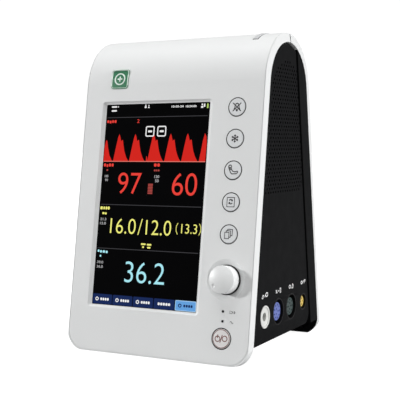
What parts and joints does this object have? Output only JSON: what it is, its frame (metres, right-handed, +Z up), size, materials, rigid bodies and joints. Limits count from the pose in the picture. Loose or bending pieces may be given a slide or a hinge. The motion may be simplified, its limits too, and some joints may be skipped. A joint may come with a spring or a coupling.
{
  "type": "patient monitor",
  "caption": "Portable bedside patient monitor with a leaning portrait display, round keys, a push-and-turn knob and patient ports on its side.",
  "frame": {"origin": "on the floor plane, at the middle of the footprint of the front and rear feet", "axes": "+Z up, +X to the monitor's right-hand side as seen from the front, +Y towards its back"},
  "size_m": [0.1548, 0.1458, 0.241],
  "materials": {
    "white_shell": "satin, fine texture",
    "black_body": "fine matt texture",
    "seal_rubber": "matt",
    "badge": "gloss, printed",
    "screen_window": "clear hard coat over a lit display",
    "display_metal": "dull",
    "key_cap": "satin",
    "power_cap": "satin",
    "knob": "satin",
    "steel_fixings": "bright",
    "brass_fixings": "bright",
    "circuit_board": "solder mask",
    "black_parts": "moulded",
    "light_pipe": "smoked, unlit",
    "light_bar": "translucent",
    "battery_wrap": "shrink wrap",
    "air_socket": "satin",
    "port_cup": "moulded",
    "blue_contact": "moulded",
    "green_contact": "moulded",
    "yellow_contact": "moulded",
    "silicone": "translucent"
  },
  "bodies": {
    "case": {"front_shell": "white_shell", "rear_shell": "white_shell", "battery_door": "white_shell", "right_side_panel": "black_body", "left_side_panel": "black_body", "rear_frame": "black_body", "base_plate": "black_body", "crown_seal": "seal_rubber", "foot_pads": "seal_rubber", "display_gasket": "seal_rubber", "alarm_bar_seal": "seal_rubber", "emblem_badge": "badge", "display_window": "screen_window", "lcd_module": "display_metal", "display_bracket": "display_metal", "chassis": "display_metal", "front_screws": "steel_fixings", "door_screws": "steel_fixings", "rear_screws": "steel_fixings", "base_screws": "steel_fixings", "inlet_pins": "steel_fixings", "ground_stud": "steel_fixings", "base_inserts": "brass_fixings", "encoder_nut": "brass_fixings", "board_spacers": "brass_fixings", "chassis_spacers": "brass_fixings", "rear_spacers": "brass_fixings", "key_board": "circuit_board", "alarm_board": "circuit_board", "main_board": "circuit_board", "power_board": "circuit_board", "measurement_board": "circuit_board", "key_switches": "black_parts", "encoder_body": "black_parts", "ac_inlet": "black_parts", "nibp_pump": "black_parts", "nibp_valve": "black_parts", "speaker": "black_parts", "battery_bay": "black_parts", "led_light_pipes": "light_pipe", "alarm_light_bar": "light_bar", "battery_pack": "battery_wrap", "nibp_socket": "air_socket", "spo2_cup": "port_cup", "ecg_cup": "port_cup", "temp_cup": "port_cup", "spo2_insert": "blue_contact", "ecg_insert": "green_contact", "temp_insert": "yellow_contact", "air_tube": "silicone"},
    "mute_key": {"mute_key": "key_cap"},
    "freeze_key": {"freeze_key": "key_cap"},
    "cuff_key": {"cuff_key": "key_cap"},
    "print_key": {"print_key": "key_cap"},
    "menu_key": {"menu_key": "key_cap"},
    "power_key": {"power_key": "power_cap"},
    "knob_plunger": {"encoder_plunger": "black_parts"},
    "knob": {"control_knob": "knob", "knob_skirt": "knob", "encoder_shaft": "steel_fixings"}
  },
  "joints": [
    {"name": "mute_key_press", "type": "slide", "parent": "case", "child": "mute_key", "axis": [0, 0.9874, -0.1583], "range_m": [0, 0.0008], "stiffness_N_per_m": 800, "springref_m": -0.0006},
    {"name": "freeze_key_press", "type": "slide", "parent": "case", "child": "freeze_key", "axis": [0, 0.9874, -0.1583], "range_m": [0, 0.0008], "stiffness_N_per_m": 800, "springref_m": -0.0006},
    {"name": "cuff_key_press", "type": "slide", "parent": "case", "child": "cuff_key", "axis": [0, 0.9874, -0.1583], "range_m": [0, 0.0008], "stiffness_N_per_m": 800, "springref_m": -0.0006},
    {"name": "print_key_press", "type": "slide", "parent": "case", "child": "print_key", "axis": [0, 0.9874, -0.1583], "range_m": [0, 0.0008], "stiffness_N_per_m": 800, "springref_m": -0.0006},
    {"name": "menu_key_press", "type": "slide", "parent": "case", "child": "menu_key", "axis": [0, 0.9874, -0.1583], "range_m": [0, 0.0008], "stiffness_N_per_m": 800, "springref_m": -0.0006},
    {"name": "power_key_press", "type": "slide", "parent": "case", "child": "power_key", "axis": [0, 0.9874, -0.1583], "range_m": [0, 0.001], "stiffness_N_per_m": 800, "springref_m": -0.0006},
    {"name": "knob_press", "type": "slide", "parent": "case", "child": "knob_plunger", "axis": [0, 0.9874, -0.1583], "range_m": [0, 0.0006], "stiffness_N_per_m": 1500, "springref_m": -0.0006},
    {"name": "knob_turn", "type": "hinge", "parent": "knob_plunger", "child": "knob", "pos_m": [0.0555, -0.06326, 0.06043], "axis": [0, -0.9874, 0.1583], "continuous": true}
  ]
}
